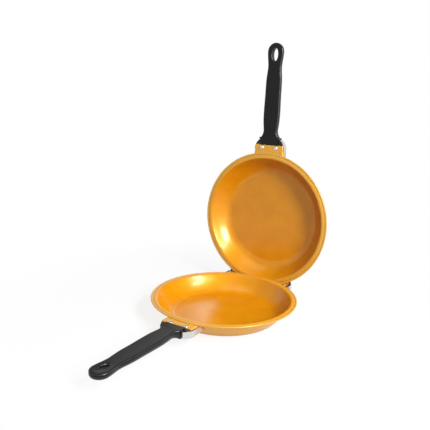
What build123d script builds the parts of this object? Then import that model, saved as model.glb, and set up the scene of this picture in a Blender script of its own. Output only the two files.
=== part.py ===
from build123d import *
import os
from math import cos, radians, sin, sqrt, tan

# A double sided flip pan: two equal shallow pans, rim to rim, joined by a side hinge
# at the far end and each carried on its own straight handle at the near end.
# Each half is modelled in its own rim frame: z = 0 is the plane where the two rims
# meet, the bowl goes down to -z, the handle runs to -y and the hinge is at +y.
# Lengths are millimetres, angles are degrees.

# ---------------------------------------------------------------- driving dimensions
# Bowl
rim_radius = 120.0
rim_width = 10.0               # flat of the rim, out from where the inner wall would meet it
bowl_depth = 27.4
wall_slope = 51.0              # above the horizontal
wall_thickness = 3.0
floor_thickness = 3.0
rim_gap = 0.3                  # between the two rims when the pan is shut
rim_thickness = 2.25
rim_edge_round = 0.9
lip_round = 4.0
floor_round = 22.0
base_round = 11.0
under_rim_round = 3.0
groove_inset = 3.4             # fine line turned into the flat of the rim
groove_width = 1.2
groove_depth = 0.4

# Ear that carries the handle
ear_width = 55.0
ear_length = 13.7              # beyond the rim
ear_drop = 1.6                 # top of the ear below the rim plane
ear_thickness = 2.0
ear_corner = 7.0
ear_edge_round = 0.9
ear_inset = 9.5                # where the ear starts, inside the rim's edge
rivet_spacing = 26.8
rivet_inset = 4.7              # from the ear's end
rivet_shank_radius = 2.0
rivet_head_radius = 3.7
rivet_head_height = 1.3
rivet_tail_height = 1.3
rivet_tail_taper = 20.0

# Steel bracket between the ear and the handle
bracket_thickness = 1.5
bracket_overhang = 0.8         # bracket outside the ear, each side
bracket_length = 9.8           # beyond the ear
bracket_front_width = 37.0
bracket_bottom = 15.0
bracket_rear_bottom = 13.4
bracket_bend_length = 16.5
bracket_tuck = 24.0            # under the rim
bracket_corner = 2.5
bracket_edge_round = 1.1
wall_clearance = 0.25

# Steel tang, held in the bracket and run into the handle
tang_width = 14.0
tang_thickness = 2.5
tang_tuck = 1.0                # under the rim
tang_grip = 59.5               # inside the handle
socket_clearance = 0.2

# Handle, with places along it measured from the front of the bracket
handle_top = 0.8               # below the rim plane, so that shut handles do not rub
handle_length = 163.0
loop_width = 28.6
loop_length = 29.6             # of the oval that the loop's round end belongs to
waist_place = 124.5
waist_width = 24.2
shoulder_place = 106.5
shoulder_width = 27.0
belly_place = 78.5
belly_width = 28.2
neck_place = 22.0
neck_width = 26.6
flare_width = 33.6
flare_angle = 53.0             # of the flare's end, from the collar's face
loop_depth = 10.5
belly_depth = 11.3
neck_depth = 11.9
collar_width = 38.0
collar_depth = 14.6
collar_slope = 32.0            # of the underside where it meets the collar
collar_thickness = 3.2
collar_drop = 0.9
collar_round = 3.2
root_gap = 0.6                 # between the handle's root and the ear
root_width = 35.0
root_wedge_drop = 2.4
root_wedge_inset = 1.0
handle_bottom_round = 4.8
handle_top_round = 2.3
crease_top = 3.4               # groove along each side, below the rim plane
crease_height = 1.1
crease_depth = 0.8
crease_run_out = 1.0           # how far its ends leave the side
hanging_hole_inset = 19.5      # its centre from the handle's end
hanging_hole_length = 21.4
hanging_hole_width = 10.0
hanging_hole_round = 2.4
screw_place = 48.5
screw_radius = 2.0
screw_head_radius = 3.6
screw_head_height = 1.3
screw_head_taper = 8.0
screw_tip_gap = 0.3
screw_slot_width = 0.9
screw_slot_depth = 0.7
screw_washer_radius = 3.9
screw_washer_thickness = 0.5
screw_washer_bore = 2.15
counterbore_radius = 4.3
counterbore_depth = 2.1

# Hinge
hinge_inset = 6.0              # axis inside the rim's edge
hinge_drop = 9.5               # axis below the lower rim plane
open_angle = 92.8              # from shut to leaning back on the stop
nose_gap = 0.3                 # what lies behind the axis, below the swinging rim
hinge_ear_width = 118.0
nose_end_angle = 12.0          # where the nose of the ear stops, above the axis
plate_thickness = 1.5
plate_length = 21.0            # along the ear
plate_rear_gap = 0.6           # plate in front of the hinge axis
plate_pan_clearance = 1.5      # plate outside the bowl wall, under the rim
arm_gap = 0.8                  # between the ear's end and the swinging arm
washer_gap = 1.1               # between the swinging arm and the fixed cheek
arm_width = 12.0
neck_gap = 0.6                 # fixed neck in front of the swinging arm
cheek_top = 2.7
cheek_bottom = 15.0
cheek_behind = 13.0            # behind the hinge axis
cheek_corner = 4.0
cheek_edge_round = 0.5
stop_gap = 0.3                 # between the arm's heel and the fixed neck, open
heel_reach = 10.0              # heel in front of the axis, open
heel_depth = 2.0               # heel below the axis, open
arm_root_length = 9.5          # in front of the hinge axis
arm_root_height = 0.9
pin_radius = 2.5
pin_clearance = 0.05
pin_head_radius = 4.3
pin_head_height = 1.5
pin_tail_radius = 3.9
pin_tail_height = 1.2
pin_side_gap = 0.3
hinge_washer_radius = 4.9
hinge_washer_thickness = 0.5
hinge_washer_clearance = 0.1
hinge_rivet_inset = 5.0        # from the ear's end
hinge_rivet_forward = 3.4      # of the hinge axis
hinge_rivet_radius = 1.6
hinge_rivet_head_radius = 2.4
hinge_rivet_head_depth = 1.1
hinge_rivet_tail_radius = 2.6
hinge_rivet_tail_height = 1.2

# ---------------------------------------------------------------- worked-out values
pan_height = bowl_depth + floor_thickness
lip_radius = rim_radius - rim_width
groove_radius = rim_radius - groove_inset
slope_run = 1 / tan(radians(wall_slope))
wall_across = wall_thickness / sin(radians(wall_slope))
rim_top = -rim_gap / 2
rim_bottom = rim_top - rim_thickness
ear_root = rim_radius - ear_inset
ear_reach = rim_radius + ear_length
rivet_reach = ear_reach - rivet_inset
ear_top = -ear_drop
ear_bottom = ear_top - ear_thickness
bracket_front = ear_reach + bracket_length
bracket_bend_start = bracket_front - bracket_bend_length
bracket_rear = rim_radius - bracket_tuck
bracket_top = ear_bottom
bracket_plate_bottom = bracket_top - bracket_thickness
bracket_half_width = ear_width / 2 + bracket_overhang
tang_start = rim_radius - tang_tuck
tang_end = bracket_front + tang_grip
tang_top = bracket_plate_bottom
tang_bottom = tang_top - tang_thickness
handle_top_z = -handle_top
handle_end = bracket_front + handle_length
loop_centre = handle_end - loop_length / 2
collar_back = bracket_front + collar_thickness
waist_reach = bracket_front + waist_place
shoulder_reach = bracket_front + shoulder_place
belly_reach = bracket_front + belly_place
neck_reach = bracket_front + neck_place
screw_reach = bracket_front + screw_place
hanging_hole_reach = handle_end - hanging_hole_inset
counterbore_floor = -belly_depth + counterbore_depth
hinge_reach = rim_radius - hinge_inset
swing_radius = hinge_drop + rim_top - nose_gap
nose_radius = hinge_drop - ear_drop
plate_top = ear_bottom
plate_bottom = plate_top - plate_thickness
plate_rear = hinge_reach - plate_rear_gap
ear_end_x = hinge_ear_width / 2
plate_inner_x = ear_end_x - plate_length
hinge_rivet_x = ear_end_x - hinge_rivet_inset
hinge_rivet_y = hinge_reach - hinge_rivet_forward
arm_inner_x = ear_end_x + arm_gap
arm_outer_x = arm_inner_x + plate_thickness
cheek_inner_x = arm_outer_x + washer_gap
cheek_outer_x = cheek_inner_x + plate_thickness
neck_rear = hinge_reach - arm_width / 2 - neck_gap
plate_pan_radius = lip_radius + wall_across + plate_pan_clearance
cheek_front = sqrt(plate_pan_radius**2 - cheek_inner_x**2)
cheek_rear = hinge_reach + cheek_behind
arm_root_reach = hinge_reach - arm_root_length
heel_top = hinge_drop + plate_bottom - stop_gap
lean = open_angle - 90

hinge_rivet_points = [(side * hinge_rivet_x, hinge_rivet_y) for side in (-1, 1)]
handle_rivet_points = [(side * rivet_spacing / 2, -rivet_reach) for side in (-1, 1)]

# ---------------------------------------------------------------- frames
lower_rim = Plane(origin=(0, 0, pan_height))
shut_upper_rim = Plane(origin=(0, 0, pan_height), x_dir=(-1, 0, 0), z_dir=(0, 0, -1))
hinge_height = pan_height - hinge_drop
to_hinge = Location((0, hinge_reach, hinge_height))
swing_open = to_hinge * Location((0, 0, 0), (-open_angle, 0, 0)) * to_hinge.inverse()
upper_rim = Plane(swing_open * shut_upper_rim.location)


def across(rim):
    """The upright plane through the bowl's axis: its x is the rim's x, its y is the rim's z."""
    return Plane(rim.origin, x_dir=rim.x_dir, z_dir=-rim.y_dir)


def along(rim, x=0.0):
    """The upright plane at x: its x is the rim's y, its y is the rim's z."""
    return Plane(rim.from_local_coords((x, 0, 0)), x_dir=rim.y_dir, z_dir=rim.x_dir)


def save(piece, name):
    piece.label = name
    export_step(piece, f"parts/{name}.step")


def round_corner(sketch, corner, radius):
    """Rounds the corner of a sketch that lies nearest to a point."""
    nearest = min(sketch.vertices(), key=lambda v: (v.center() - Vector(*corner)).length)
    fillet(nearest, radius)


# ---------------------------------------------------------------- pan
def wall_radius(z, outside=0.0):
    """Radius of the inner wall's slope at height z, or of a line that far outside it."""
    return lip_radius + z * slope_run + outside


def make_pan(half, rim):
    with BuildPart() as pan:
        with BuildSketch(across(rim)) as section:
            floor_corner = (wall_radius(-bowl_depth), -bowl_depth)
            base_corner = (wall_radius(-pan_height, wall_across), -pan_height)
            lip_corner = (wall_radius(rim_top), rim_top)
            under_corner = (wall_radius(rim_bottom, wall_across), rim_bottom)
            with BuildLine():
                Polyline(
                    (0, -bowl_depth), floor_corner, lip_corner,
                    (rim_radius, rim_top), (rim_radius, rim_bottom), under_corner,
                    base_corner, (0, -pan_height), close=True,
                )
            make_face()
            round_corner(section, floor_corner, floor_round)
            round_corner(section, lip_corner, lip_round)
            round_corner(section, under_corner, under_rim_round)
            round_corner(section, base_corner, base_round)
            round_corner(section, (rim_radius, rim_top), rim_edge_round)
            round_corner(section, (rim_radius, rim_bottom), rim_edge_round)
        revolve(axis=Axis(rim.origin, rim.z_dir))
        # fine line turned into the flat of the rim
        with BuildSketch(rim.offset(rim_top)):
            Circle(groove_radius + groove_width / 2)
            Circle(groove_radius - groove_width / 2, mode=Mode.SUBTRACT)
        extrude(amount=-groove_depth, mode=Mode.SUBTRACT)
    bowl = pan.part

    with BuildPart() as handle_ear:
        with BuildSketch(rim.offset(ear_top)) as outline:
            with Locations((0, -(ear_root + ear_reach) / 2)):
                Rectangle(ear_width, ear_reach - ear_root)
            for side in (-1, 1):
                round_corner(outline, (side * ear_width / 2, -ear_reach), ear_corner)
        extrude(amount=-ear_thickness)
        top_face = handle_ear.faces().sort_by(Axis(rim.origin, rim.z_dir))[-1]
        outer_edges = top_face.edges().sort_by(Axis(rim.origin, rim.y_dir))[:-1]
        fillet(outer_edges, ear_edge_round)

    with BuildPart() as hinge_ear:
        # flat of the ear, outside the bowl's lip
        with BuildSketch(rim.offset(ear_top)):
            with Locations((0, hinge_reach / 2)):
                Rectangle(hinge_ear_width, hinge_reach)
            Circle(lip_radius + wall_across, mode=Mode.SUBTRACT)
        extrude(amount=-ear_thickness)
        # nose that curls down around the hinge axis
        with BuildSketch(along(rim)):
            with BuildLine():
                span = 90 - nose_end_angle
                centre = (hinge_reach, -hinge_drop)
                outer = CenterArc(centre, nose_radius, nose_end_angle, span)
                inner = CenterArc(centre, nose_radius - ear_thickness, nose_end_angle, span)
                Line(outer @ 0, inner @ 0)
                Line(outer @ 1, inner @ 1)
            make_face()
        extrude(amount=ear_end_x, both=True)

    with BuildPart() as whole_pan:
        add(bowl)
        # the rim behind the hinge axis follows the nose, so the upper rim swings clear
        with BuildSketch(along(rim)):
            with Locations((hinge_reach, -hinge_drop)):
                Rectangle(2 * hinge_drop, 2 * hinge_drop, align=(Align.MIN, Align.MIN))
                Circle(swing_radius, mode=Mode.SUBTRACT)
        extrude(amount=ear_end_x, both=True, mode=Mode.SUBTRACT)
        add(handle_ear.part)
        add(hinge_ear.part)
        # rivet holes through the ears, countersunk at the hinge
        with BuildSketch(rim.offset(ear_top)):
            with Locations(*handle_rivet_points):
                Circle(rivet_shank_radius)
            with Locations(*hinge_rivet_points):
                Circle(hinge_rivet_radius)
        extrude(amount=-ear_thickness, mode=Mode.SUBTRACT)
        with Locations(*[rim.location * Location((x, y, ear_top)) for x, y in hinge_rivet_points]):
            Cone(
                hinge_rivet_radius, hinge_rivet_head_radius, hinge_rivet_head_depth,
                align=(Align.CENTER, Align.CENTER, Align.MAX), mode=Mode.SUBTRACT,
            )
    save(whole_pan.part, f"{half}_pan")


# ---------------------------------------------------------------- handle bracket
def bracket_outline(inset):
    """Half outline of the bracket seen from above, this far inside its outer face."""
    side = bracket_half_width - inset
    front = bracket_front_width / 2 - inset
    front_y = -bracket_front + inset
    shoulder = Line((side, -bracket_rear), (side, -bracket_bend_start))
    bend = TangentArc(shoulder @ 1, (front, front_y), tangent=(0, -1))
    nose = Line(bend @ 1, (0, front_y))
    Line(nose @ 1, (0, -bracket_rear))
    Line((0, -bracket_rear), shoulder @ 0)


def round_bracket(sketch, inset):
    """Rounds the two front corners of the bracket's outline."""
    for side in (-1, 1):
        corner = (side * (bracket_front_width / 2 - inset), inset - bracket_front)
        round_corner(sketch, corner, bracket_corner - inset)


def make_handle_bracket(half, rim):
    with BuildPart() as bracket:
        with BuildSketch(rim.offset(bracket_top)) as outside:
            with BuildLine():
                bracket_outline(0.0)
            make_face()
            mirror(about=Plane.YZ)
            round_bracket(outside, 0.0)
        extrude(amount=-(bracket_bottom + bracket_top))
        top_face = bracket.faces().sort_by(Axis(rim.origin, rim.z_dir))[-1]
        rear_edge = top_face.edges().sort_by(Axis(rim.origin, rim.y_dir))[-1]
        fillet([e for e in top_face.edges() if e != rear_edge], bracket_edge_round)
        with BuildSketch(rim.offset(bracket_plate_bottom)) as inside:
            with BuildLine():
                bracket_outline(bracket_thickness)
            make_face()
            mirror(about=Plane.YZ)
            round_bracket(inside, bracket_thickness)
        extrude(amount=-bracket_bottom, mode=Mode.SUBTRACT)
        # lower edge rises towards the pan
        with BuildSketch(along(rim)):
            with BuildLine():
                Polyline(
                    (-bracket_bend_start, -bracket_bottom),
                    (-bracket_rear, -bracket_rear_bottom),
                    (-bracket_rear, -pan_height),
                    (-bracket_bend_start, -pan_height),
                    close=True,
                )
            make_face()
        extrude(amount=ear_width, both=True, mode=Mode.SUBTRACT)
        # rear trimmed to the slope of the bowl
        with BuildSketch(across(rim)):
            with BuildLine():
                reach = wall_across + wall_clearance
                Polyline(
                    (0, 0), (wall_radius(0, reach) + under_rim_round, 0),
                    (wall_radius(rim_bottom, reach) + under_rim_round, bracket_top),
                    (wall_radius(bracket_plate_bottom, reach), bracket_plate_bottom),
                    (wall_radius(-pan_height, reach), -pan_height), (0, -pan_height),
                    close=True,
                )
            make_face()
        revolve(axis=Axis(rim.origin, rim.z_dir), mode=Mode.SUBTRACT)
        # rivet holes and the slot for the tang
        with BuildSketch(rim.offset(bracket_top)):
            with Locations(*handle_rivet_points):
                Circle(rivet_shank_radius)
        extrude(amount=-bracket_thickness, mode=Mode.SUBTRACT)
        with BuildSketch(across(rim).offset(bracket_front - 2 * bracket_thickness)):
            with Locations((0, (tang_top + tang_bottom) / 2)):
                Rectangle(tang_width, tang_thickness)
        extrude(amount=3 * bracket_thickness, mode=Mode.SUBTRACT)
    save(bracket.part, f"{half}_handle_bracket")


def make_handle_rivets(half, rim):
    with BuildPart() as rivets:
        with BuildSketch(rim.offset(ear_top)):
            with Locations(*handle_rivet_points):
                Circle(rivet_shank_radius)
        extrude(amount=bracket_plate_bottom - ear_top)
        for x, y in handle_rivet_points:
            upright = Plane(rim.from_local_coords((x, y, 0)), x_dir=rim.x_dir, z_dir=-rim.y_dir)
            # domed head above the ear
            with BuildSketch(upright):
                with BuildLine():
                    crown = ThreePointArc(
                        (0, ear_top + rivet_head_height),
                        (rivet_head_radius * sin(radians(45)),
                         ear_top + rivet_head_height * cos(radians(45))),
                        (rivet_head_radius, ear_top),
                    )
                    Polyline(crown @ 1, (0, ear_top), crown @ 0)
                make_face()
            revolve(axis=Axis(upright.origin, rim.z_dir))
        # flat tail under the bracket
        with BuildSketch(rim.offset(bracket_plate_bottom)):
            with Locations(*handle_rivet_points):
                Circle(rivet_head_radius)
        extrude(amount=-rivet_tail_height, taper=rivet_tail_taper)
    save(rivets.part, f"{half}_handle_rivets")


def make_tang(half, rim):
    with BuildPart() as tang:
        with BuildSketch(rim.offset(tang_top)):
            with Locations((0, -(tang_start + tang_end) / 2)):
                RectangleRounded(tang_width, tang_end - tang_start, bracket_thickness)
            with Locations((0, -screw_reach)):
                Circle(screw_radius, mode=Mode.SUBTRACT)
        extrude(amount=-tang_thickness)
    save(tang.part, f"{half}_handle_tang")


# ---------------------------------------------------------------- handle
def draw_side(inset, run_out):
    """Side of the handle seen from above, from the loop to the collar, this far inside
    its surface, with the two ends this far outside it."""
    return Spline(
        (loop_width / 2 + run_out, -loop_centre),
        (waist_width / 2 - inset, -waist_reach),
        (shoulder_width / 2 - inset, -shoulder_reach),
        (belly_width / 2 - inset, -belly_reach),
        (neck_width / 2 - inset, -neck_reach),
        (flare_width / 2 + run_out, -collar_back),
        tangents=((0, 1), (cos(radians(flare_angle)), sin(radians(flare_angle)))),
    )


def make_handle(half, rim):
    with BuildPart() as grip:
        # seen from above: oval loop end, waist, belly, neck and flare
        with BuildSketch(rim.offset(handle_top_z)):
            with BuildLine():
                cap = EllipticalCenterArc(
                    (0, -loop_centre), loop_width / 2, loop_length / 2, 270, arc_size=90
                )
                side = draw_side(0.0, 0.0)
                Polyline(side @ 1, (0, -collar_back), cap @ 0)
            make_face()
            mirror(about=Plane.YZ)
        extrude(amount=-collar_depth)
        # seen from the side: thin at the loop, deep at the collar
        with BuildSketch(along(rim)):
            with BuildLine():
                under = Spline(
                    (-handle_end - loop_width, -loop_depth),
                    (-loop_centre, -loop_depth),
                    (-belly_reach, -belly_depth),
                    (-neck_reach, -neck_depth),
                    (-collar_back, -collar_depth),
                    tangents=((1, 0), (cos(radians(collar_slope)), -sin(radians(collar_slope)))),
                )
                Polyline(
                    under @ 1, (-collar_back, handle_top_z),
                    (-handle_end - loop_width, handle_top_z), under @ 0,
                )
            make_face()
        extrude(amount=collar_width, both=True, mode=Mode.INTERSECT)
        under_edges = grip.faces().sort_by(Axis(rim.origin, rim.z_dir))[0].edges()
        front_cut = under_edges.sort_by(Axis(rim.origin, rim.y_dir))[-1]
        fillet([e for e in under_edges if e != front_cut], handle_bottom_round)
        top_face = grip.faces().sort_by(Axis(rim.origin, rim.z_dir))[-1]
        front_cut = top_face.edges().sort_by(Axis(rim.origin, rim.y_dir))[-1]
        fillet([e for e in top_face.edges() if e != front_cut], handle_top_round)
        # hanging hole with a rounded mouth
        with BuildSketch(rim.offset(handle_top_z)):
            with Locations((0, -hanging_hole_reach)):
                Ellipse(hanging_hole_width / 2, hanging_hole_length / 2)
        extrude(amount=-collar_depth, mode=Mode.SUBTRACT)
        mouths = [
            e for e in grip.edges(Select.LAST)
            if abs((e @ 0 - e @ 1).dot(rim.z_dir)) < loop_depth / 2
        ]
        fillet(mouths, hanging_hole_round)
        # crease along each side, running out at the loop and at the collar
        with BuildSketch(rim.offset(-crease_top)):
            with BuildLine():
                inner = draw_side(crease_depth, crease_run_out)
                Polyline(
                    inner @ 1, (collar_width, -collar_back), (collar_width, -loop_centre), inner @ 0
                )
            make_face()
            mirror(about=Plane.YZ)
        extrude(amount=-crease_height, mode=Mode.SUBTRACT)

    with BuildPart() as handle:
        add(grip.part)
        # collar against the bracket
        with BuildSketch(across(rim).offset(bracket_front)) as collar:
            with Locations((0, -(collar_drop + collar_depth) / 2)):
                Rectangle(collar_width, collar_depth - collar_drop)
            for side in (-1, 1):
                round_corner(collar, (side * collar_width / 2, -collar_depth), collar_round)
        extrude(amount=collar_thickness)
        # root that covers the front of the bracket up to the ear
        for top, width in ((-handle_top, root_width), (-root_wedge_drop, ear_width)):
            with BuildSketch(rim.offset(top)) as root:
                with BuildLine():
                    bracket_outline(root_wedge_inset)
                make_face()
                mirror(about=Plane.YZ)
                round_bracket(root, root_wedge_inset)
                with Locations((0, -(ear_reach + root_gap))):
                    Rectangle(
                        width, bracket_front, align=(Align.CENTER, Align.MAX), mode=Mode.INTERSECT
                    )
            extrude(amount=bracket_top - top)
        with BuildSketch(across(rim).offset(bracket_front - root_wedge_inset)):
            with Locations((0, (bracket_top - handle_top) / 2)):
                Rectangle(flare_width, -bracket_top - handle_top)
        extrude(amount=collar_thickness + root_wedge_inset)
        # socket for the tang
        with BuildSketch(across(rim).offset(bracket_front)):
            with Locations((0, (tang_top + tang_bottom) / 2)):
                Rectangle(tang_width + 2 * socket_clearance, tang_thickness + 2 * socket_clearance)
        extrude(amount=tang_end - bracket_front + socket_clearance, mode=Mode.SUBTRACT)
        # screw hole and its counterbore, from below
        with BuildSketch(rim.offset(tang_bottom)):
            with Locations((0, -screw_reach)):
                Circle(screw_washer_bore)
        extrude(amount=-collar_depth, mode=Mode.SUBTRACT)
        with BuildSketch(rim.offset(counterbore_floor)):
            with Locations((0, -screw_reach)):
                Circle(counterbore_radius)
        extrude(amount=-collar_depth, mode=Mode.SUBTRACT)
    save(handle.part, f"{half}_handle")


def make_handle_screw(half, rim):
    head_top = counterbore_floor - screw_washer_thickness
    with BuildPart() as screw:
        with BuildSketch(rim.offset(tang_top - screw_tip_gap)):
            with Locations((0, -screw_reach)):
                Circle(screw_radius)
        extrude(amount=head_top - (tang_top - screw_tip_gap))
        with BuildSketch(rim.offset(head_top)):
            with Locations((0, -screw_reach)):
                Circle(screw_head_radius)
        extrude(amount=-screw_head_height, taper=screw_head_taper)
        with BuildSketch(rim.offset(head_top - screw_head_height)):
            with Locations((0, -screw_reach)):
                Rectangle(2 * screw_head_radius, screw_slot_width)
                Rectangle(screw_slot_width, 2 * screw_head_radius)
        extrude(amount=screw_slot_depth, mode=Mode.SUBTRACT)
    save(screw.part, f"{half}_handle_screw")

    with BuildPart() as washer:
        with BuildSketch(rim.offset(counterbore_floor)):
            with Locations((0, -screw_reach)):
                Circle(screw_washer_radius)
                Circle(screw_washer_bore, mode=Mode.SUBTRACT)
        extrude(amount=-screw_washer_thickness)
    save(washer.part, f"{half}_handle_washer")


# ---------------------------------------------------------------- hinge
def make_fixed_plate(rim, side, name):
    """Lower hinge plate: riveted under the ear, with a cheek outside the swinging arm."""
    with BuildPart() as plate:
        with BuildSketch(rim.offset(plate_top)):
            with Locations((side * (plate_inner_x + cheek_outer_x) / 2, plate_rear / 2)):
                Rectangle(cheek_outer_x - plate_inner_x, plate_rear)
            Circle(plate_pan_radius, mode=Mode.SUBTRACT)
            with Locations((side * (ear_end_x + cheek_inner_x) / 2, neck_rear)):
                Rectangle(
                    cheek_inner_x - ear_end_x, arm_width,
                    align=(Align.CENTER, Align.MIN), mode=Mode.SUBTRACT,
                )
            with Locations(*hinge_rivet_points):
                Circle(hinge_rivet_radius, mode=Mode.SUBTRACT)
        extrude(amount=-plate_thickness)
        with BuildSketch(along(rim, side * cheek_inner_x)) as cheek:
            with BuildLine():
                Polyline(
                    (cheek_front, -cheek_top), (cheek_rear, -cheek_top),
                    (cheek_rear, -cheek_bottom), (cheek_front, -cheek_bottom), close=True,
                )
            make_face()
            fillet(cheek.vertices(), cheek_corner)
            with Locations((hinge_reach, -hinge_drop)):
                Circle(pin_radius, mode=Mode.SUBTRACT)
        extrude(amount=side * plate_thickness)
        outside = plate.faces().sort_by(Axis(rim.origin, side * rim.x_dir))[-1]
        fillet(outside.outer_wire().edges(), cheek_edge_round)
    save(plate.part, name)


def at_open(forward, up):
    """Point in a swinging plate's own frame that is this far in front of and above the
    hinge axis when the pan stands open."""
    tilt = radians(lean)
    return (
        hinge_reach + forward * sin(tilt) - up * cos(tilt),
        hinge_drop + forward * cos(tilt) + up * sin(tilt),
    )


def make_swinging_plate(rim, side, name):
    """Upper hinge plate: riveted under the ear, with an arm to the pin and a stop heel."""
    arm_front = hinge_reach - arm_width / 2
    arm_rear = hinge_reach + arm_width / 2
    with BuildPart() as plate:
        with BuildSketch(rim.offset(plate_top)):
            with Locations((side * (plate_inner_x + ear_end_x) / 2, plate_rear / 2)):
                Rectangle(ear_end_x - plate_inner_x, plate_rear)
            with Locations((side * (ear_end_x + arm_outer_x) / 2, (arm_root_reach + plate_rear) / 2)):
                Rectangle(arm_outer_x - ear_end_x, plate_rear - arm_root_reach)
            Circle(plate_pan_radius, mode=Mode.SUBTRACT)
            with Locations(*hinge_rivet_points):
                Circle(hinge_rivet_radius, mode=Mode.SUBTRACT)
        extrude(amount=-plate_thickness)
        with BuildSketch(along(rim, side * arm_inner_x)):
            with BuildLine():
                Polyline(
                    (arm_root_reach, plate_bottom), (arm_root_reach, -arm_root_height),
                    (arm_front, -arm_root_height), (arm_front, hinge_drop),
                    (arm_rear, hinge_drop), (arm_rear, plate_bottom), close=True,
                )
            make_face()
            with Locations((hinge_reach, hinge_drop)):
                Circle(arm_width / 2)
            with BuildLine():
                Polyline(
                    at_open(0, heel_top), at_open(heel_reach, heel_top),
                    at_open(heel_reach, -heel_depth), at_open(0, -heel_depth), close=True,
                )
            make_face()
            with Locations((hinge_reach, hinge_drop)):
                Circle(pin_radius + pin_clearance, mode=Mode.SUBTRACT)
        extrude(amount=side * plate_thickness)
    save(plate.part, name)


def make_hinge_rivets(half, rim):
    with BuildPart() as rivets:
        for x, y in hinge_rivet_points:
            with Locations(rim.location * Location((x, y, ear_top))):
                Cone(
                    hinge_rivet_radius, hinge_rivet_head_radius, hinge_rivet_head_depth,
                    align=(Align.CENTER, Align.CENTER, Align.MAX),
                )
                Cylinder(
                    hinge_rivet_radius, ear_top - plate_bottom,
                    align=(Align.CENTER, Align.CENTER, Align.MAX),
                )
            with Locations(rim.location * Location((x, y, plate_bottom))):
                Cylinder(
                    hinge_rivet_tail_radius, hinge_rivet_tail_height,
                    align=(Align.CENTER, Align.CENTER, Align.MAX),
                )
    save(rivets.part, f"{half}_hinge_rivets")


def make_pin_and_washer(rim, side, side_name):
    head_x = arm_inner_x - pin_side_gap
    with BuildPart() as pin:
        for start, length, radius in (
            (head_x - pin_head_height, pin_head_height, pin_head_radius),
            (head_x, cheek_outer_x - head_x, pin_radius),
            (cheek_outer_x, pin_tail_height, pin_tail_radius),
        ):
            with BuildSketch(along(rim, side * start)):
                with Locations((hinge_reach, -hinge_drop)):
                    Circle(radius)
            extrude(amount=side * length)
    save(pin.part, f"{side_name}_hinge_pin")

    with BuildPart() as washer:
        with BuildSketch(along(rim, side * (cheek_inner_x - hinge_washer_thickness))):
            with Locations((hinge_reach, -hinge_drop)):
                Circle(hinge_washer_radius)
                Circle(pin_radius + hinge_washer_clearance, mode=Mode.SUBTRACT)
        extrude(amount=side * hinge_washer_thickness)
    save(washer.part, f"{side_name}_hinge_washer")


# ---------------------------------------------------------------- the two halves
os.makedirs("parts", exist_ok=True)

for half, rim in (("lower", lower_rim), ("upper", upper_rim)):
    make_pan(half, rim)
    make_handle_bracket(half, rim)
    make_handle_rivets(half, rim)
    make_tang(half, rim)
    make_handle(half, rim)
    make_handle_screw(half, rim)
    make_hinge_rivets(half, rim)

# the upper half is turned over, so its own right is the pan's left
for side, side_name in ((1, "right"), (-1, "left")):
    make_fixed_plate(lower_rim, side, f"lower_{side_name}_hinge_plate")
    make_swinging_plate(upper_rim, -side, f"upper_{side_name}_hinge_plate")
    make_pin_and_washer(lower_rim, side, side_name)
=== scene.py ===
from math import acos, cos, pi, radians, sin, sqrt, tan

import bmesh
import bpy
from mathutils import Matrix, Vector


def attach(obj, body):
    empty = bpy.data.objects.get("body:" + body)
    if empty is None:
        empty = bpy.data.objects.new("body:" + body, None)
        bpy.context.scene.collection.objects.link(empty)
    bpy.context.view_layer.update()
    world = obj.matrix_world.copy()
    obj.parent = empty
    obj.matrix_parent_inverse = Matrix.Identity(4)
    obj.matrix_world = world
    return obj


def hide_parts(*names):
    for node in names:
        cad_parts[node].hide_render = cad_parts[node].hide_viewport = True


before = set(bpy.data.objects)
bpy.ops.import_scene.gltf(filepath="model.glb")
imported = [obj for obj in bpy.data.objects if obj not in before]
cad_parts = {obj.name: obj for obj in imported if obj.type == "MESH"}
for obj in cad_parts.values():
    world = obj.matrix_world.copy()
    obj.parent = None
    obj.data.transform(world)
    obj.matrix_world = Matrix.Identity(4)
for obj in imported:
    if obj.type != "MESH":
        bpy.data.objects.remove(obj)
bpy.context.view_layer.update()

bl_info = {
    "name": "Flip pan",
    "version": (1, 0, 0),
    "blender": (4, 5, 0),
    "location": "View3D > Sidebar > Flip pan",
    "description": "Dresses a flip pan: coated bowls, steel brackets, moulded handles",
    "category": "Object",
}

MM = 0.001
PAN_HEIGHT = 0.0304                # ground to the rim plane of the lower half
HALVES = ("lower", "upper")
TINY = 1e-6


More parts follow.
